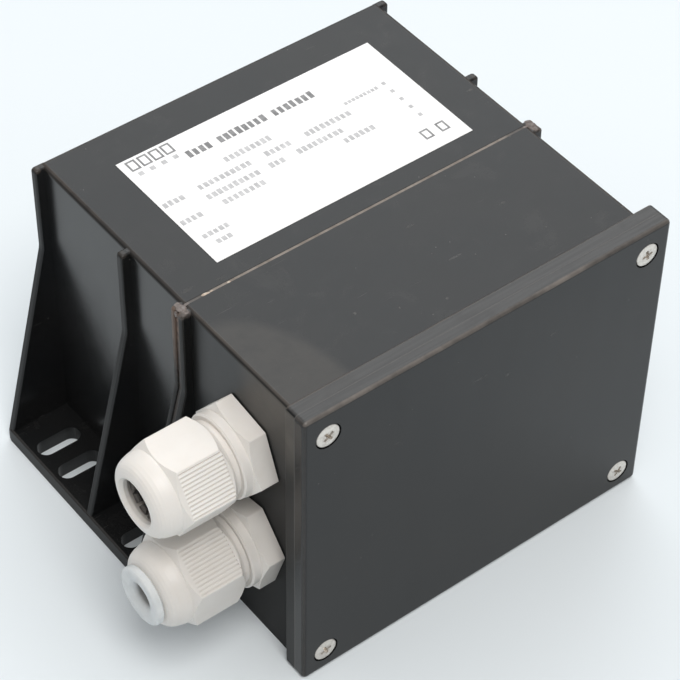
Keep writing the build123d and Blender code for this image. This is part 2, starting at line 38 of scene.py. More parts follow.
# ---------------------------------------------------------------- material helper
class Mat:
    """One node material.  Positions are the part's own, in millimetres."""

    def __init__(self, name):
        self.m = bpy.data.materials.new(name)
        self.m.use_nodes = True
        self.nt = self.m.node_tree
        self.nt.nodes.clear()
        out = self.nt.nodes.new("ShaderNodeOutputMaterial")
        self.bsdf = self.nt.nodes.new("ShaderNodeBsdfPrincipled")
        self.nt.links.new(self.bsdf.outputs[0], out.inputs[0])
        tc = self.nt.nodes.new("ShaderNodeTexCoord")
        scale = self.nt.nodes.new("ShaderNodeVectorMath")
        scale.operation = "SCALE"
        scale.inputs["Scale"].default_value = 1000.0
        self.nt.links.new(tc.outputs["Object"], scale.inputs[0])
        self.p = scale.outputs[0]
        sep = self.nt.nodes.new("ShaderNodeSeparateXYZ")
        self.nt.links.new(self.p, sep.inputs[0])
        self.x, self.y, self.z = sep.outputs[0], sep.outputs[1], sep.outputs[2]
        geo = self.nt.nodes.new("ShaderNodeNewGeometry")
        nsep = self.nt.nodes.new("ShaderNodeSeparateXYZ")
        self.nt.links.new(geo.outputs["Normal"], nsep.inputs[0])
        self.nx, self.ny, self.nz = nsep.outputs[0], nsep.outputs[1], nsep.outputs[2]

    def put(self, socket, value):
        if hasattr(value, "is_output"):
            self.nt.links.new(value, socket)
        elif isinstance(value, (tuple, list)) and len(value) == 3 and socket.type == "RGBA":
            socket.default_value = (*value, 1.0)
        else:
            socket.default_value = value

    def set(self, **values):
        for key, value in values.items():
            self.put(self.bsdf.inputs[key.replace("_", " ")], value)

    def math(self, op, a, b=0.0, c=0.0, clamp=False):
        n = self.nt.nodes.new("ShaderNodeMath")
        n.operation = op
        n.use_clamp = clamp
        self.put(n.inputs[0], a)
        self.put(n.inputs[1], b)
        if len(n.inputs) > 2:
            self.put(n.inputs[2], c)
        return n.outputs[0]

    def add(self, a, b):
        return self.math("ADD", a, b)

    def sub(self, a, b):
        return self.math("SUBTRACT", a, b)

    def mul(self, a, b):
        return self.math("MULTIPLY", a, b)

    def absolute(self, a):
        return self.math("ABSOLUTE", a)

    def peak(self, *values):
        out = values[0]
        for v in values[1:]:
            out = self.math("MAXIMUM", out, v)
        return out

    def ramp(self, value, lo, hi, to_lo=0.0, to_hi=1.0, smooth=True):
        n = self.nt.nodes.new("ShaderNodeMapRange")
        n.interpolation_type = "SMOOTHSTEP" if smooth else "LINEAR"
        self.put(n.inputs[0], value)
        n.inputs[1].default_value = lo
        n.inputs[2].default_value = hi
        n.inputs[3].default_value = to_lo
        n.inputs[4].default_value = to_hi
        return n.outputs[0]

    def stretched(self, sx, sy, sz):
        n = self.nt.nodes.new("ShaderNodeVectorMath")
        n.operation = "MULTIPLY"
        self.nt.links.new(self.p, n.inputs[0])
        n.inputs[1].default_value = (sx, sy, sz)
        return n.outputs[0]

    def noise(self, scale=1.0, detail=3.0, rough=0.5, vector=None, distortion=0.0):
        n = self.nt.nodes.new("ShaderNodeTexNoise")
        self.nt.links.new(vector or self.p, n.inputs["Vector"])
        n.inputs["Scale"].default_value = scale
        n.inputs["Detail"].default_value = detail
        n.inputs["Roughness"].default_value = rough
        n.inputs["Distortion"].default_value = distortion
        return n.outputs[0]

    def cells(self, scale=1.0, vector=None, feature="F1"):
        n = self.nt.nodes.new("ShaderNodeTexVoronoi")
        n.feature = feature
        self.nt.links.new(vector or self.p, n.inputs["Vector"])
        n.inputs["Scale"].default_value = scale
        return n.outputs[0]

    def wave(self, axis, scale, vector=None):
        n = self.nt.nodes.new("ShaderNodeTexWave")
        n.wave_type = "BANDS"
        n.bands_direction = axis
        self.nt.links.new(vector or self.p, n.inputs["Vector"])
        n.inputs["Scale"].default_value = scale
        return n.outputs[1]

    def mix(self, factor, a, b):
        n = self.nt.nodes.new("ShaderNodeMix")
        n.data_type = "RGBA"
        self.put(n.inputs[0], factor)
        self.put(n.inputs[6], a)
        self.put(n.inputs[7], b)
        return n.outputs[2]

    def mixf(self, factor, a, b):
        n = self.nt.nodes.new("ShaderNodeMix")
        n.data_type = "FLOAT"
        self.put(n.inputs[0], factor)
        self.put(n.inputs[2], a)
        self.put(n.inputs[3], b)
        return n.outputs[0]

    def bump(self, height, distance_mm, strength=1.0, normal=None):
        n = self.nt.nodes.new("ShaderNodeBump")
        n.inputs["Strength"].default_value = strength
        n.inputs["Distance"].default_value = distance_mm * MM
        self.put(n.inputs["Height"], height)
        if normal is not None:
            self.put(n.inputs["Normal"], normal)
        return n.outputs[0]

    def near_line(self, u, u0, v, v0, inner, outer):
        """1 close to the line u = u0, v = v0, falling to 0 at the outer distance."""
        du = self.sub(u, u0)
        dv = self.sub(v, v0)
        d = self.math("SQRT", self.add(self.mul(du, du), self.mul(dv, dv)))
        return self.ramp(d, inner, outer, 1.0, 0.0)

    def patch(self, cx, cy, cz, rx, ry, rz, soft=0.4):
        """Soft ellipsoid patch round a point."""
        out = None
        for value, c, r in ((self.x, cx, rx), (self.y, cy, ry), (self.z, cz, rz)):
            d = self.math("DIVIDE", self.sub(value, c), r)
            d = self.mul(d, d)
            out = d if out is None else self.add(out, d)
        return self.ramp(self.math("SQRT", out), 1.0 - soft, 1.0 + soft, 1.0, 0.0)


# ---------------------------------------------------------------- black moulded plastic
def black_plastic(name, edges, top_dust=(), scuffs=(), resin_smear=False, cover=False, lip=False,
                  edge_wear_and_highlight_colour=(0.105, 0.085, 0.070)):
    m = Mat(name)
    broad = m.noise(0.035, 3.0, 0.55)
    middle = m.noise(0.16, 4.0, 0.6)
    fine = m.noise(2.6, 3.0, 0.6)
    grain = m.noise(7.0, 2.0, 0.5)

    base = m.mix(m.ramp(broad, 0.35, 0.65), (0.0074, 0.0082, 0.0090), (0.0096, 0.0098, 0.0100))
    base = m.mix(m.mul(m.ramp(fine, 0.45, 0.75), 0.30), base, (0.0165, 0.0160, 0.0155))
    rough = m.mixf(m.ramp(middle, 0.3, 0.7), 0.205, 0.235)
    rough = m.add(rough, m.mul(m.sub(grain, 0.5), 0.06))

    # dust and handling marks on the upper faces
    up = m.ramp(m.nz, 0.75, 0.95)
    for cx, cy, rx, ry in top_dust:
        spot = m.patch(cx, cy, 84.4, rx, ry, 30.0, 0.09)
        spot = m.mul(spot, m.mul(up, m.ramp(m.noise(0.22, 4.0, 0.65), 0.25, 0.60, 0.70, 1.0)))
        base = m.mix(m.mul(spot, 0.80), base, (0.0415, 0.0383, 0.0342))
        rough = m.mixf(spot, rough, 0.27)
    if lip:
        raised = m.mul(up, m.ramp(m.z, 86.6, 87.4))
        wiped = m.ramp(m.noise(1.0, 3.0, 0.55, vector=m.stretched(0.045, 1.5, 0.5)), 0.35, 0.65)
        base = m.mix(m.mul(raised, 0.85), base, m.mix(wiped, (0.061, 0.0605, 0.060), (0.042, 0.0418, 0.0415)))
    film = m.mul(up, m.ramp(m.noise(0.09, 5.0, 0.65, distortion=0.6), 0.52, 0.72))
    base = m.mix(m.mul(film, 0.45), base, (0.026, 0.025, 0.0245))

    # tiny light specks, and short scratches
    dots = m.ramp(m.cells(0.32), 0.03, 0.075, 1.0, 0.0)
    dots = m.mul(dots, m.ramp(m.noise(0.11, 2.0), 0.50, 0.60))
    base = m.mix(m.mul(dots, 0.55), base, (0.12, 0.115, 0.11))
    streak = m.noise(1.0, 2.0, 0.5, vector=m.stretched(0.10, 1.9, 0.9))
    streak = m.mul(m.ramp(streak, 0.69, 0.74), m.ramp(m.noise(0.07, 2.0), 0.48, 0.60))
    base = m.mix(m.mul(streak, 0.30), base, (0.085, 0.083, 0.080))
    for cx, cy, cz, rx, ry, rz, amount in scuffs:
        mark = m.patch(cx, cy, cz, rx, ry, rz, 0.5)
        mark = m.mul(mark, m.ramp(m.noise(1.4, 3.0, 0.6), 0.35, 0.6))
        base = m.mix(m.mul(mark, amount), base, (0.15, 0.145, 0.14))
        rough = m.mixf(m.mul(mark, 0.7), rough, 0.6)

    # rubbed edges, browner and lighter: partly brown wear, partly a painted highlight along the rounded edges
    edge_breakup = m.ramp(m.noise(0.30, 3.0, 0.55), 0.30, 0.62)
    edge_breakup_far = m.ramp(m.noise(0.05, 2.0, 0.5), 0.35, 0.62, 0.55, 1.0)
    edge_wear_and_highlight = None
    ax = m.absolute(m.x)
    spots = {"x": ax, "y": m.y, "z": m.z, "sx": m.x}
    for (u, u0, v, v0, inner, outer, amount) in edges:
        e = m.mul(m.near_line(spots[u], u0, spots[v], v0, inner, outer), amount)
        edge_wear_and_highlight = e if edge_wear_and_highlight is None else m.peak(edge_wear_and_highlight, e)
    if edge_wear_and_highlight is not None:
        edge_wear_and_highlight = m.mul(edge_wear_and_highlight, m.mul(m.add(0.65, m.mul(edge_breakup, 0.35)), edge_breakup_far))
        base = m.mix(edge_wear_and_highlight, base, edge_wear_and_highlight_colour)
        rough = m.mixf(edge_wear_and_highlight, rough, 0.40)

    # duller outer faces of ribs and feet, and a lighter brownish strip of wall beside the flange that fades out
    # towards the bottom
    sideways = m.ramp(m.absolute(m.nx), 0.80, 0.95)
    dull = m.mul(m.mul(sideways, m.ramp(ax, 51.0, 51.4)), m.ramp(m.y, -62.0, -58.0))
    rough = m.mixf(dull, rough, 0.52)
    if lip and not cover:
        strip = m.mul(m.mul(sideways, m.ramp(ax, 52.0, 52.6, 1.0, 0.0)), m.ramp(m.y, -55.0, -46.0, 1.0, 0.0))
        strip = m.mul(strip, m.ramp(m.noise(0.12, 4.0, 0.6), 0.30, 0.65, 0.70, 1.0))
        strip = m.mul(m.mul(strip, m.ramp(m.x, -40.0, -30.0, 1.0, 0.0)), m.ramp(m.z, 63.0, 80.0, 0.05, 1.0))
        wall = m.mul(sideways, m.mixf(m.ramp(ax, 50.6, 51.0), m.ramp(m.z, 30.0, 66.0, 1.0, 0.30), 0.55))
        wall = m.mul(wall, m.ramp(m.y, -30.5, -29.0, 1.0, 0.0))
        rough = m.mixf(wall, rough, 0.72)
        base = m.mix(m.mul(strip, 0.80), base, (0.098, 0.088, 0.076))
        rough = m.mixf(strip, rough, 0.48)

    if resin_smear:
        smear = m.mul(m.ramp(ax, 49.0, 49.7), m.ramp(m.z, 82.6, 83.9))
        near = m.ramp(m.absolute(m.add(m.y, 27.95)), 2.0, 2.9, 1.0, 0.0)
        smear = m.mul(m.mul(smear, near), m.ramp(m.noise(0.7, 3.0, 0.55), 0.28, 0.58))
        base = m.mix(m.mul(smear, 0.8), base, (0.125, 0.106, 0.097))
        rough = m.mixf(smear, rough, 0.45)
        # brown resin run down the outer faces of the two ribs at the seam
        run = m.mul(m.ramp(ax, 50.9, 51.3), m.ramp(m.add(m.z, m.mul(m.noise(0.35, 3.0), 16.0)), 66.0, 88.0))
        run = m.mul(run, m.ramp(m.absolute(m.add(m.y, 27.2)), 1.5, 2.0, 1.0, 0.0))
        base = m.mix(m.mul(run, 0.85), base, (0.135, 0.094, 0.072))
        rough = m.mixf(run, rough, 0.42)

    # moulded grain, with slight sink and flow marks
    flow = m.noise(1.0, 2.0, 0.45, vector=m.stretched(0.055, 0.055, 0.018))
    n1 = m.bump(flow, 0.30 if cover else 0.20, 0.5)
    n2 = m.bump(middle, 0.010, 0.5, n1)
    n3 = m.bump(fine, 0.006, 0.8, n2)
    n4 = m.bump(grain, 0.003, 0.8, n3)
    m.set(Base_Color=base, Roughness=rough, Normal=n4)
    m.bsdf.inputs["IOR"].default_value = 1.38
    return m.m


HW, TOP, KINK = 49.4, 84.4, 59.5
FRONT, BACK, SEAM = -74.2, 30.2, -27.5
housing_edges = [
    ("x", HW - 0.75, "z", TOP - 0.06, 0.20, 0.55, 0.40),
    ("x", HW - 0.32, "z", TOP - 0.32, 0.30, 0.70, 0.16),
    ("y", BACK - 0.75, "z", TOP - 0.06, 0.20, 0.55, 0.30),
    ("x", HW + 1.5, "z", TOP - 0.3, 0.5, 1.0, 0.45),
    ("x", 65.4, "z", 4.1, 0.2, 0.5, 0.12),
]
box_edges = [
    ("x", HW - 0.75, "z", TOP - 0.06, 0.20, 0.55, 0.36),
    ("x", HW - 0.32, "z", TOP - 0.32, 0.30, 0.70, 0.16),
    ("x", HW + 1.5, "z", TOP - 0.3, 0.5, 1.0, 0.45),
    ("y", -67.62, "z", 87.80, 0.25, 0.50, 0.60),
]
cover_edges = [
    ("y", FRONT + 0.36, "z", 87.76, 0.30, 0.75, 0.90),
    ("x", 51.40, "y", FRONT + 0.3, 0.20, 0.55, 0.14),
    ("x", 51.2, "z", 87.5, 0.25, 0.6, 0.30),
]
MATS = {}
MATS["housing"] = black_plastic(
    "housing_plastic", housing_edges, resin_smear=True,
    scuffs=[(46.6, -9.7, 84.4, 0.9, 0.35, 1.0, 0.45), (-46.0, -24.2, 84.4, 1.4, 0.5, 1.0, 0.25),
            (-38.0, -25.6, 84.4, 1.0, 0.4, 1.0, 0.22)])
MATS["box"] = black_plastic(
    "box_plastic", box_edges, resin_smear=True, lip=True, top_dust=[(-49.4, -67.4, 16.5, 31.0)],
    scuffs=[(7.6, -51.5, 84.4, 1.5, 0.28, 1.0, 0.5), (27.3, -44.4, 84.4, 0.8, 0.35, 1.0, 0.35),
            (5.8, -37.7, 84.4, 0.9, 0.35, 1.0, 0.3), (-21.0, -52.0, 84.4, 0.35, 0.35, 1.0, 0.5),
            (-12.0, -56.5, 84.4, 0.3, 0.3, 1.0, 0.5), (-2.0, -60.5, 84.4, 0.35, 0.3, 1.0, 0.5)])
# the cover's edge colour is lighter still: brown wear with a painted highlight along its top front edge
MATS["cover"] = black_plastic(
    "cover_plastic", cover_edges, cover=True, lip=True, edge_wear_and_highlight_colour=(0.172, 0.153, 0.138),
    scuffs=[(-3.0, -74.2, 71.0, 1.8, 0.6, 0.25, 0.3), (5.0, -74.2, 67.0, 0.6, 0.6, 0.35, 0.4),
            (18.0, -74.2, 72.0, 0.8, 0.6, 0.35, 0.25)])


# ---------------------------------------------------------------- resin in the seam
def seam_resin():
    m = Mat("seam_resin_cured")
    patchy = m.ramp(m.noise(0.55, 4.0, 0.65), 0.35, 0.65)
    ends = m.ramp(m.absolute(m.x), 41.0, 45.0)
    top = m.mix(m.mul(patchy, 0.6), (0.205, 0.170, 0.142), (0.120, 0.098, 0.080))
    top = m.mix(m.mul(ends, 0.80), top, (0.040, 0.034, 0.031))
    high = m.mix(patchy, (0.16, 0.082, 0.048), (0.055, 0.036, 0.028))
    low = m.mix(patchy, (0.016, 0.014, 0.013), (0.036, 0.025, 0.020))
    side = m.mix(m.ramp(m.add(m.z, m.mul(m.noise(0.25, 3.0), 12.0)), 74.0, 86.0), low, high)
    base = m.mix(m.ramp(m.z, 83.5, 83.8), side, top)
    m.set(Base_Color=base, Roughness=m.mixf(patchy, 0.34, 0.55),
          Normal=m.bump(m.noise(1.1, 4.0, 0.6), 0.18, 0.8))
    return m.m


def resin_drops(name, light, dark):
    m = Mat(name)
    v = m.ramp(m.noise(1.3, 4.0, 0.6), 0.3, 0.7)
    m.set(Base_Color=m.mix(v, light, dark), Roughness=m.mixf(v, 0.38, 0.6),
          Normal=m.bump(m.noise(2.4, 3.0, 0.6), 0.06, 0.7))
    m.bsdf.inputs["Subsurface Weight"].default_value = 0.15
    m.bsdf.inputs["Subsurface Radius"].default_value = (0.0012, 0.0007, 0.0004)
    return m.m


MATS["seam"] = seam_resin()
MATS["drops"] = resin_drops("resin_specks", (0.62, 0.54, 0.46), (0.46, 0.36, 0.28))
MATS["smear"] = resin_drops("resin_smear", (0.200, 0.172, 0.160), (0.100, 0.080, 0.071))


# ---------------------------------------------------------------- cable glands
def gland_plastic(name, fingers=False, shade_factor=1.0, ribs=None):
    m = Mat(name)
    # a factor below 1 darkens every colour of the plastic: painted shade
    light, dark, spot = (tuple(shade_factor * c for c in rgb) for rgb in (
        (0.775, 0.742, 0.702), (0.750, 0.716, 0.674), (0.64, 0.605, 0.56)))
    broad = m.noise(0.14, 3.0, 0.5)
    fine = m.noise(3.0, 3.0, 0.6)
    base = m.mix(m.ramp(broad, 0.35, 0.65), light, dark)
    base = m.mix(m.mul(m.ramp(m.noise(0.9, 4.0, 0.65), 0.60, 0.78), 0.25), base, spot)
    if fingers:
        # finger tips deep in the nut's mouth darkened: painted shade
        mouth_shade = m.ramp(m.x, -73.0, -70.0, 1.0, 0.0)
        base = m.mix(mouth_shade, base, m.mix(m.ramp(fine, 0.3, 0.7), (0.22, 0.205, 0.19), (0.14, 0.13, 0.12)))
    if ribs:
        # ribbed flats of the nut: painted highlight on the crests, painted shade in the grooves
        cy, cz, turn, crest_highlight_amount, groove_shade_amount = ribs
        ly, lz = m.sub(m.y, cy), m.sub(m.z, cz)
        span = m.mul(m.ramp(m.x, -72.0, -71.6), m.ramp(m.x, -60.7, -60.3, 1.0, 0.0))
        for k in range(3):
            a = math.radians(60.0 - turn - 120.0 * k)
            height = m.add(m.mul(lz, math.cos(a)), m.mul(ly, math.sin(a)))
            across = m.sub(m.mul(ly, math.cos(a)), m.mul(lz, math.sin(a)))
            flat = m.mul(m.ramp(height, 9.90, 10.10), m.ramp(m.absolute(across), 5.65, 5.80, 1.0, 0.0))
            flat = m.mul(flat, span)
            wave = m.math("COSINE", m.mul(across, 2.0 * math.pi / 0.98))
            crest_highlight = m.mul(flat, m.ramp(wave, -0.50, 0.05))
            groove_shade = m.mul(flat, m.ramp(wave, -0.50, 0.05, 1.0, 0.0))
            base = m.mix(m.mul(crest_highlight, crest_highlight_amount), base, (0.91, 0.882, 0.842))
            base = m.mix(m.mul(groove_shade, groove_shade_amount), base, (0.50, 0.470, 0.435))
    rough = m.mixf(m.ramp(fine, 0.3, 0.7), 0.38, 0.47)
    n1 = m.bump(broad, 0.08, 0.5)
    n2 = m.bump(fine, 0.010, 0.6, n1)
    m.set(Base_Color=base, Roughness=rough, Normal=n2)
    m.bsdf.inputs["Subsurface Weight"].default_value = 0.12
    m.bsdf.inputs["Subsurface Radius"].default_value = (0.0016, 0.0013, 0.0010)
    return m.m


def plug_plastic():
    m = Mat("plug_polyethylene")
    broad = m.noise(0.3, 3.0, 0.5)
    fine = m.noise(2.2, 3.0, 0.6)
    base = m.mix(m.ramp(broad, 0.35, 0.65), (0.66, 0.68, 0.685), (0.61, 0.63, 0.635))
    ly, lz = m.add(m.y, 52.4), m.sub(m.z, 31.4)
    r = m.math("SQRT", m.add(m.mul(ly, ly), m.mul(lz, lz)))
    # floor and hole of the plug's recess darkened: painted shade
    painted_recess_tone = m.mul(m.ramp(r, 2.7, 3.5, 1.0, 0.0), m.ramp(m.x, -80.6, -79.2))
    base = m.mix(m.mul(painted_recess_tone, 0.85), base, (0.20, 0.19, 0.18))
    m.set(Base_Color=base, Roughness=m.mixf(fine, 0.30, 0.48), Normal=m.bump(fine, 0.012, 0.6))
    m.bsdf.inputs["Subsurface Weight"].default_value = 0.25
    m.bsdf.inputs["Subsurface Radius"].default_value = (0.0022, 0.0026, 0.0030)
    return m.m


def rubber(name, dark, light, rough=(0.55, 0.75)):
    m = Mat(name)
    v = m.noise(0.8, 4.0, 0.6)
    f = m.noise(5.0, 2.0, 0.5)
    m.set(Base_Color=m.mix(m.ramp(v, 0.3, 0.7), dark, light), Roughness=m.mixf(v, rough[0], rough[1]),
          Normal=m.bump(f, 0.012, 0.7))
    return m.m


MATS["gland_upper"] = gland_plastic("gland_polyamide", ribs=(-50.1, 60.1, 0.0, 1.0, 0.22))
MATS["gland_body_upper"] = gland_plastic("gland_body_polyamide", fingers=True)
# the lower gland gets darker copies of the plastic: painted shade, for the upper gland's shade falling on it
MATS["gland_lower"] = gland_plastic("gland_polyamide_painted_shade", shade_factor=0.90, ribs=(-52.4, 31.4, -19.3, 0.10, 0.16))
MATS["gland_body_lower"] = gland_plastic("gland_body_polyamide_painted_shade", fingers=True, shade_factor=0.86)
MATS["plug"] = plug_plastic()
MATS["gasket"] = rubber("gasket_rubber", (0.046, 0.044, 0.042), (0.062, 0.059, 0.055), (0.35, 0.50))
MATS["seal"] = rubber("seal_rubber", (0.022, 0.021, 0.020), (0.048, 0.045, 0.043))


# ---------------------------------------------------------------- cover screws
def zinc(name, base_light, base_dark, rough=(0.30, 0.46), turned_rings=True, metal=1.0):
    m = Mat(name)
    patch = m.noise(1.1, 4.0, 0.6)
    base = m.mix(m.ramp(patch, 0.38, 0.66), base_light, base_dark)
    normal = m.bump(m.noise(4.5, 3.0, 0.6), 0.012, 0.6)
    if turned_rings:
        lx = m.sub(m.absolute(m.x), 45.2)
        lz = m.sub(m.absolute(m.sub(m.z, 43.45)), 37.05)
        r = m.math("SQRT", m.add(m.mul(lx, lx), m.mul(lz, lz)))
        rings = m.math("SINE", m.mul(r, 26.0))
        normal = m.bump(rings, 0.006, 0.4, normal)
        # dark ring round the head's rim: painted shade of the gap to the counterbore, with some dirt
        rim_dirt_and_shade = m.mul(m.ramp(r, 2.6, 3.25), m.ramp(m.noise(1.7, 3.0), 0.4, 0.6))
        rim_gap_shade = m.mul(m.ramp(r, 2.88, 3.12), m.ramp(m.noise(0.8, 3.0), 0.35, 0.60, 0.75, 1.0))
        # soft darker centre over the cross recess: painted shade
        middle = m.mul(m.ramp(r, 0.9, 1.9, 1.0, 0.0), m.ramp(m.noise(1.3, 3.0), 0.3, 0.6, 0.5, 1.0))
        base = m.mix(m.mul(middle, 0.45), base, (0.44, 0.405, 0.37))
        # the cross recess lightened: painted light against its own shade
        painted_recess_tone = m.ramp(m.y, -74.05, -73.5)
        base = m.mix(m.mul(rim_dirt_and_shade, 0.3), base, (0.30, 0.27, 0.24))
        base = m.mix(m.mul(rim_gap_shade, 0.90), base, (0.055, 0.050, 0.046))
        base = m.mix(m.mul(m.mul(painted_recess_tone, m.ramp(r, 2.2, 2.6, 1.0, 0.0)), 0.8), base, (0.80, 0.74, 0.67))
    m.set(Base_Color=base, Roughness=m.mixf(patch, rough[0], rough[1]), Normal=normal)
    m.bsdf.inputs["Metallic"].default_value = metal
    return m.m


MATS["screw"] = zinc("zinc_screw", (0.73, 0.700, 0.655), (0.61, 0.580, 0.535), metal=0.55)


# ---------------------------------------------------------------- label and its print
def label_paper():
    m = Mat("label_film")
    fibre = m.noise(1.6, 4.0, 0.6)
    broad = m.noise(0.06, 3.0, 0.5)
    edge = m.peak(m.ramp(m.absolute(m.sub(m.x, 1.0)), 36.2, 36.9), m.ramp(m.absolute(m.add(m.y, 1.25)), 19.4, 20.05))
    base = m.mix(m.ramp(fibre, 0.35, 0.7), (0.905, 0.905, 0.90), (0.875, 0.875, 0.872))
    base = m.mix(m.mul(edge, m.mul(m.ramp(m.noise(0.4, 3.0), 0.45, 0.65), 0.25)), base, (0.70, 0.68, 0.65))
    n1 = m.bump(broad, 0.10, 0.5)
    m.set(Base_Color=base, Roughness=m.mixf(fibre, 0.50, 0.62), Normal=m.bump(fibre, 0.006, 0.5, n1))
    return m.m


def print_ink(name, dark, light):
    m = Mat(name)
    fade = m.noise(0.5, 3.0, 0.6)
    speck = m.noise(4.0, 3.0, 0.6)
    base = m.mix(m.ramp(fade, 0.35, 0.7), dark, light)
    base = m.mix(m.mul(m.ramp(speck, 0.55, 0.72), 0.5), base, (0.60, 0.60, 0.60))
    m.set(Base_Color=base, Roughness=m.mixf(speck, 0.45, 0.62))
    return m.m


MATS["label"] = label_paper()
MATS["ink_bold"] = print_ink("print_bold", (0.17, 0.17, 0.175), (0.26, 0.26, 0.265))
MATS["ink"] = print_ink("print_plain", (0.44, 0.44, 0.45), (0.56, 0.56, 0.57))


# ---------------------------------------------------------------- the transformer and terminals inside
def core_steel():
    m = Mat("core_laminations")
    sheets = m.math("FRACT", m.mul(m.y, 2.0))
    line = m.ramp(m.absolute(m.sub(sheets, 0.5)), 0.36, 0.48)
    rust = m.ramp(m.noise(0.25, 4.0, 0.65), 0.52, 0.70)
    base = m.mix(m.noise(0.8, 3.0), (0.20, 0.21, 0.225), (0.31, 0.315, 0.325))
    base = m.mix(m.mul(rust, 0.5), base, (0.16, 0.075, 0.035))
    base = m.mix(m.mul(line, 0.8), base, (0.03, 0.03, 0.033))
    m.set(Base_Color=base, Roughness=m.mixf(rust, 0.42, 0.75), Normal=m.bump(m.sub(1.0, line), 0.06, 0.8))
    m.bsdf.inputs["Metallic"].default_value = 0.8
    return m.m


def copper_winding():
    m = Mat("enamelled_copper")
    pitch = m.math("FRACT", m.mul(m.add(m.z, m.mul(m.noise(0.2, 2.0), 0.25)), 1.9))
    turn = m.math("SINE", m.mul(pitch, math.pi))
    # each turn lighter along its middle and darker at the gaps between turns: painted highlight and painted shade
    base = m.mix(m.ramp(turn, 0.0, 0.8), (0.10, 0.032, 0.012), (0.55, 0.20, 0.075))
    base = m.mix(m.mul(m.noise(0.6, 3.0), 0.3), base, (0.35, 0.09, 0.03))
    m.set(Base_Color=base, Roughness=m.mixf(turn, 0.45, 0.25), Normal=m.bump(turn, 0.22, 0.9))
    m.bsdf.inputs["Metallic"].default_value = 0.7
    m.bsdf.inputs["Coat Weight"].default_value = 0.5
    return m.m


def film_tape():
    m = Mat("winding_film_yellow")
    wrap = m.math("FRACT", m.mul(m.z, 0.11))
    seam = m.ramp(wrap, 0.0, 0.06, 1.0, 0.0)
    v = m.noise(0.3, 4.0, 0.6)
    base = m.mix(v, (0.60, 0.42, 0.08), (0.48, 0.31, 0.05))
    base = m.mix(m.mul(seam, 0.5), base, (0.28, 0.17, 0.03))
    m.set(Base_Color=base, Roughness=m.mixf(v, 0.22, 0.40), Normal=m.bump(v, 0.10, 0.6))
    return m.m


def potting():
    m = Mat("potting_resin_dark")
    v = m.noise(0.10, 4.0, 0.6)
    bubbles = m.ramp(m.cells(0.45), 0.05, 0.14, 1.0, 0.0)
    bubbles = m.mul(bubbles, m.ramp(m.noise(0.15, 2.0), 0.50, 0.62))
    base = m.mix(v, (0.055, 0.038, 0.028), (0.095, 0.066, 0.048))
    base = m.mix(m.mul(bubbles, 0.6), base, (0.02, 0.014, 0.011))
    m.set(Base_Color=base, Roughness=m.mixf(v, 0.24, 0.42), Normal=m.bump(m.sub(v, m.mul(bubbles, 0.4)), 0.25, 0.6))
    return m.m


def moulded(name, light, dark, rough=(0.35, 0.5)):
    m = Mat(name)
    v = m.noise(0.2, 4.0, 0.6)
    f = m.noise(3.0, 3.0, 0.6)
    m.set(Base_Color=m.mix(m.ramp(v, 0.3, 0.7), light, dark), Roughness=m.mixf(f, rough[0], rough[1]),
          Normal=m.bump(f, 0.012, 0.7))
    return m.m


def lead_insulation(name, light, dark):
    m = Mat(name)
    v = m.noise(0.5, 4.0, 0.6)
    f = m.noise(4.0, 2.0, 0.5)
    m.set(Base_Color=m.mix(v, light, dark), Roughness=m.mixf(v, 0.35, 0.55), Normal=m.bump(f, 0.015, 0.6))
    return m.m


def brass():
    m = Mat("nickelled_brass")
    v = m.noise(0.9, 4.0, 0.6)
    f = m.noise(5.0, 3.0, 0.6)
    m.set(Base_Color=m.mix(m.ramp(v, 0.3, 0.7), (0.72, 0.60, 0.36), (0.58, 0.45, 0.24)),
          Roughness=m.mixf(f, 0.26, 0.44), Normal=m.bump(f, 0.012, 0.6))
    m.bsdf.inputs["Metallic"].default_value = 1.0
    return m.m


def fuse_glass():
    m = Mat("fuse_glass_clear")
    v = m.noise(0.7, 3.0, 0.5)
    m.set(Base_Color=m.mix(v, (0.90, 0.95, 0.93), (0.82, 0.90, 0.87)), Roughness=m.mixf(v, 0.03, 0.09),
          Normal=m.bump(v, 0.05, 0.3))
    m.bsdf.inputs["Transmission Weight"].default_value = 0.92
    return m.m


MATS["core"] = core_steel()
MATS["copper"] = copper_winding()
MATS["tape"] = film_tape()
MATS["potting"] = potting()
MATS["bobbin"] = moulded("bobbin_polyamide", (0.58, 0.54, 0.44), (0.48, 0.44, 0.36))
MATS["terminal"] = moulded("terminal_polyamide", (0.60, 0.60, 0.58), (0.52, 0.52, 0.50))
MATS["fuse_base"] = moulded("fuse_base_plastic", (0.040, 0.040, 0.042), (0.065, 0.064, 0.064))
MATS["lead_pri"] = lead_insulation("primary_wire", (0.16, 0.065, 0.030), (0.11, 0.045, 0.022))
MATS["lead_sec"] = lead_insulation("secondary_wire", (0.42, 0.035, 0.025), (0.33, 0.028, 0.022))
MATS["brass"] = brass()
MATS["steel_small"] = zinc("zinc_small", (0.74, 0.74, 0.74), (0.60, 0.59, 0.57), turned_rings=False)
MATS["glass"] = fuse_glass()

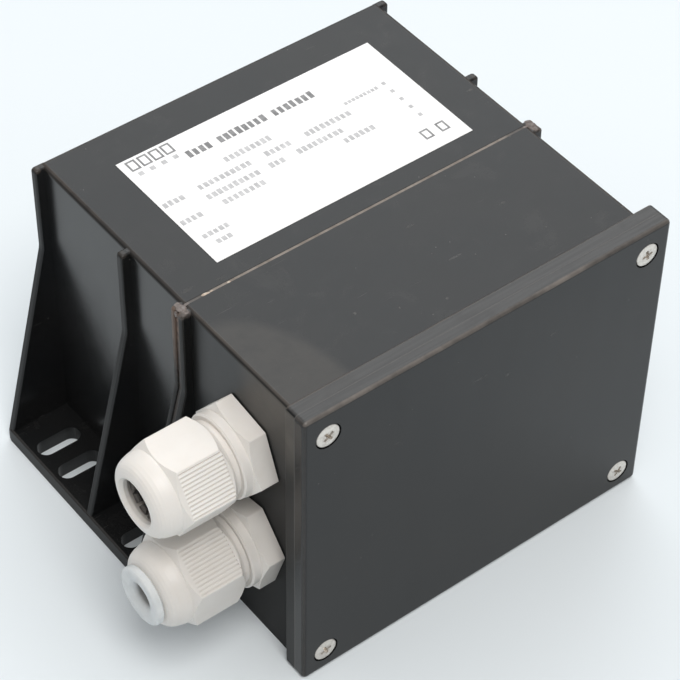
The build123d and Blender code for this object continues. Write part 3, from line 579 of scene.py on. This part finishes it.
USE = {
    "rear_housing": "housing", "terminal_box": "box", "front_cover": "cover", "seam_bead": "seam",
    "cover_gasket": "gasket", "cover_screws": "screw", "rating_label": "label", "gland_plug": "plug",
    "core_e_stack": "core", "core_i_stack": "core", "coil_bobbin": "bobbin", "primary_winding": "copper",
    "secondary_winding": "copper", "winding_tape": "tape", "potting_resin": "potting",
    "primary_leads": "lead_pri", "secondary_leads": "lead_sec", "primary_terminal_block": "terminal",
    "secondary_terminal_block": "terminal", "primary_terminal_clamps": "brass",
    "secondary_terminal_clamps": "brass", "primary_terminal_screws": "steel_small",
    "secondary_terminal_screws": "steel_small", "block_screws": "steel_small", "fuse_base": "fuse_base",
    "fuse_clips": "brass", "fuse_caps": "steel_small", "fuse_tube": "glass",
}
for which in ("upper", "lower"):
    USE["gland_body_" + which] = "gland_body_" + which
    USE["gland_nut_" + which] = "gland_" + which
    USE["gland_locknut_" + which] = "gland_" + which
    USE["gland_seal_" + which] = "seal"
    USE["gland_washer_" + which] = "seal"

for name, obj in nodes.items():
    slots = obj.material_slots
    if not slots:
        obj.data.materials.append(MATS[USE[name]])
    for s in slots:
        s.material = MATS[USE[name]]


# ---------------------------------------------------------------- modelled pieces
def mesh_object(name, bm, material):
    me = bpy.data.meshes.new(name)
    bmesh.ops.recalc_face_normals(bm, faces=bm.faces)
    bm.to_mesh(me)
    bm.free()
    me.materials.append(material)
    obj = bpy.data.objects.new(name, me)
    bpy.context.scene.collection.objects.link(obj)
    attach(obj, "root")
    return obj


LABEL_TOP = 84.55


def bar(bm, x0, x1, y0, y1, z0=LABEL_TOP - 0.005, z1=LABEL_TOP + 0.02):
    cube = bmesh.ops.create_cube(bm, size=1.0)["verts"]
    for v in cube:
        v.co = Vector(((x0 + x1) / 2 + v.co.x * (x1 - x0), (y0 + y1) / 2 + v.co.y * (y1 - y0),
                       (z0 + z1) / 2 + v.co.z * (z1 - z0))) * MM


def outline(bm, x0, x1, y0, y1, t):
    bar(bm, x0, x1, y0, y0 + t)
    bar(bm, x0, x1, y1 - t, y1)
    bar(bm, x0, x0 + t, y0 + t, y1 - t)
    bar(bm, x1 - t, x1, y0 + t, y1 - t)


def block_row(bm, x0, x1, y, h, pitch, rng, gap=0.34, breaks=()):
    """A row of plain blocks of uneven height, standing for a printed line."""
    x = x0
    while x + pitch * 0.6 < x1:
        w = min(pitch * (0.62 + 0.16 * rng.random()), x1 - x)
        tall = rng.random() < 0.35
        top = y + h * (1.0 if tall else 0.90)
        skip = any(b0 <= x <= b1 for b0, b1 in breaks)
        if not skip:
            bar(bm, x, x + w, y, top)
        x += pitch


rng = random.Random(41)
bold = bmesh.new()
for k in range(4):
    outline(bold, -34.0 + 3.2 * k, -31.4 + 3.2 * k, 14.4, 18.0, 0.50)
for x0 in (27.0, 31.7):
    outline(bold, x0 + 0.1, x0 + 2.6, -17.5, -14.2, 0.50)
block_row(bold, -20.6, 15.6, 10.4, 2.5, 1.75, rng, breaks=((-14.2, -12.6), (2.0, 3.6)))
mesh_object("label_print_bold", bold, MATS["ink_bold"])

plain = bmesh.new()
for k in range(4):
    bar(plain, -33.3 + 3.2 * k, -32.0 + 3.2 * k, 12.2, 13.5)
for x0, x1, y, h in (
        (-14.7, -0.4, 4.2, 1.9), (-25.0, -10.2, 0.1, 1.8), (-6.1, 1.3, 0.1, 1.8), (5.5, 19.9, 0.1, 1.8),
        (-25.3, -9.6, -3.7, 1.8), (-7.6, -2.8, -3.7, 1.8), (0.4, 14.4, -3.7, 1.8), (-23.3, -10.4, -7.2, 1.8),
        (11.5, 20.9, -7.2, 1.8), (-35.0, -28.4, -0.2, 1.8), (-35.0, -28.4, -7.2, 1.8),
        (-33.6, -25.6, -13.5, 1.5), (-32.0, -26.6, -16.6, 1.4)):
    block_row(plain, x0, x1, y, h, 1.5, rng)
block_row(plain, 19.4, 30.2, 3.6, 1.1, 1.15, rng)
for y in (4.4, 1.0, -2.5, -6.0, -9.5):
    bar(plain, 31.0, 32.0, y - 0.55, y + 0.55)
mesh_object("label_print_plain", plain, MATS["ink"])


def blob(bm, cx, cy, cz, rx, ry, rz, seed, rough=0.28, level=3):
    geom = bmesh.ops.create_icosphere(bm, subdivisions=level, radius=1.0)["verts"]
    off = Vector((seed * 7.31, seed * 3.17, seed * 5.73))
    for v in geom:
        d = v.co.normalized()
        k = 1.0 + rough * noise.noise(d * 1.7 + off) + 0.35 * rough * noise.noise(d * 4.1 + off)
        v.co = Vector((cx + d.x * rx * k, cy + d.y * ry * k, cz + d.z * rz * k)) * MM


specks = bmesh.new()
for i, (cx, cy, cz, rx, ry, rz) in enumerate((
        (-43.7, -27.60, 84.33, 0.85, 0.42, 0.22), (-42.9, -27.70, 84.30, 0.55, 0.30, 0.16),
        (-41.9, -27.55, 84.26, 0.45, 0.22, 0.12), (-37.2, -27.60, 84.28, 0.50, 0.26, 0.14))):
    blob(specks, cx, cy, cz, rx, ry, rz, i + 1.0)
obj = mesh_object("seam_resin_specks", specks, MATS["drops"])
for poly in obj.data.polygons:
    poly.use_smooth = True

smear = bmesh.new()
for side in (-1, 1):
    for i, (cx, cy, cz, rx, ry, rz) in enumerate((
            (50.2, -27.8, 84.08, 1.15, 1.35, 0.30), (50.1, -29.3, 84.14, 0.85, 0.75, 0.16),
            (50.2, -26.5, 84.12, 0.85, 0.70, 0.15), (51.45, -27.8, 83.1, 0.33, 0.50, 0.80),
            (48.6, -27.6, 84.26, 0.85, 0.40, 0.15))):
        blob(smear, side * cx, cy, cz, rx, ry, rz, i + 11.0 + side, 0.26)
obj = mesh_object("seam_resin_smears", smear, MATS["smear"])
for poly in obj.data.polygons:
    poly.use_smooth = True

# ---------------------------------------------------------------- floor, light, camera
floor_mat = Mat("studio_floor")
v = floor_mat.noise(0.01, 3.0, 0.5)
floor_mat.set(Base_Color=floor_mat.mix(v, (0.758, 0.812, 0.845), (0.777, 0.827, 0.857)),
              Roughness=floor_mat.mixf(v, 0.80, 0.92))
bm = bmesh.new()
bmesh.ops.create_grid(bm, x_segments=8, y_segments=8, size=4.0)
me = bpy.data.meshes.new("floor")
bm.to_mesh(me)
bm.free()
me.materials.append(floor_mat.m)
floor = bpy.data.objects.new("floor", me)
floor.location = (0, 0, -0.00005)
bpy.context.scene.collection.objects.link(floor)

scene = bpy.context.scene
world = bpy.data.worlds.new("studio")
scene.world = world
world.use_nodes = True
wn = world.node_tree
wn.nodes.clear()
w_out = wn.nodes.new("ShaderNodeOutputWorld")
w_bg = wn.nodes.new("ShaderNodeBackground")
w_tc = wn.nodes.new("ShaderNodeTexCoord")
w_sep = wn.nodes.new("ShaderNodeSeparateXYZ")
w_map = wn.nodes.new("ShaderNodeMapRange")
w_map.interpolation_type = "SMOOTHSTEP"
w_map.inputs[1].default_value = 0.0
w_map.inputs[2].default_value = 0.95
w_map.inputs[3].default_value = 0.20
w_map.inputs[4].default_value = 0.86
wn.links.new(w_tc.outputs["Generated"], w_sep.inputs[0])
wn.links.new(w_sep.outputs[2], w_map.inputs[0])
w_right = wn.nodes.new("ShaderNodeMath")
w_right.operation = "MULTIPLY_ADD"
w_right.inputs[1].default_value = 0.28
w_right.inputs[2].default_value = 1.0
wn.links.new(w_sep.outputs[0], w_right.inputs[0])
w_side = wn.nodes.new("ShaderNodeMath")
w_side.operation = "MULTIPLY_ADD"
w_side.inputs[1].default_value = 0.27
wn.links.new(w_sep.outputs[1], w_side.inputs[0])
wn.links.new(w_right.outputs[0], w_side.inputs[2])
w_mul = wn.nodes.new("ShaderNodeMath")
w_mul.operation = "MULTIPLY"
wn.links.new(w_map.outputs[0], w_mul.inputs[0])
wn.links.new(w_side.outputs[0], w_mul.inputs[1])
wn.links.new(w_mul.outputs[0], w_bg.inputs["Strength"])
w_bg.inputs["Color"].default_value = (1.0, 1.0, 1.0, 1.0)
wn.links.new(w_bg.outputs[0], w_out.inputs[0])


def area_light(name, location, target, size, watts, colour=(1, 1, 1)):
    data = bpy.data.lights.new(name, "AREA")
    data.shape = "RECTANGLE"
    data.size, data.size_y = size
    data.energy = watts
    data.color = colour
    lamp = bpy.data.objects.new(name, data)
    lamp.location = location
    aim = Vector(target) - Vector(location)
    lamp.rotation_euler = aim.to_track_quat("-Z", "Y").to_euler()
    scene.collection.objects.link(lamp)
    return lamp


area_light("softbox_behind_right", (0.56, 0.70, 1.03), (0.0, 0.0, 0.06), (0.9, 0.9), 4.1, (0.93, 0.975, 1.0))
area_light("key_above", (-0.28, -0.66, 1.38), (-0.03, -0.03, 0.04), (0.6, 0.6), 11.5, (1.0, 0.975, 0.945))

cam_data = bpy.data.cameras.new("camera")
cam_data.sensor_fit = "HORIZONTAL"
cam_data.sensor_width = 36.0
cam_data.lens = 133.11847
cam_data.clip_start = 0.01
cam_data.clip_end = 20.0
cam = bpy.data.objects.new("camera", cam_data)
cam.location = (-0.26098372, -0.35023368, 0.47470438)
cam.rotation_euler = Matrix(((0.79180943, 0.43406069, -0.42968493),
                             (-0.61065244, 0.57631389, -0.54310763),
                             (0.01189172, 0.69242590, 0.72139099))).to_euler("XYZ")
scene.collection.objects.link(cam)
scene.camera = cam

scene.view_settings.view_transform = "Standard"
scene.view_settings.look = "None"
scene.view_settings.exposure = 0.0
scene.view_settings.gamma = 1.0
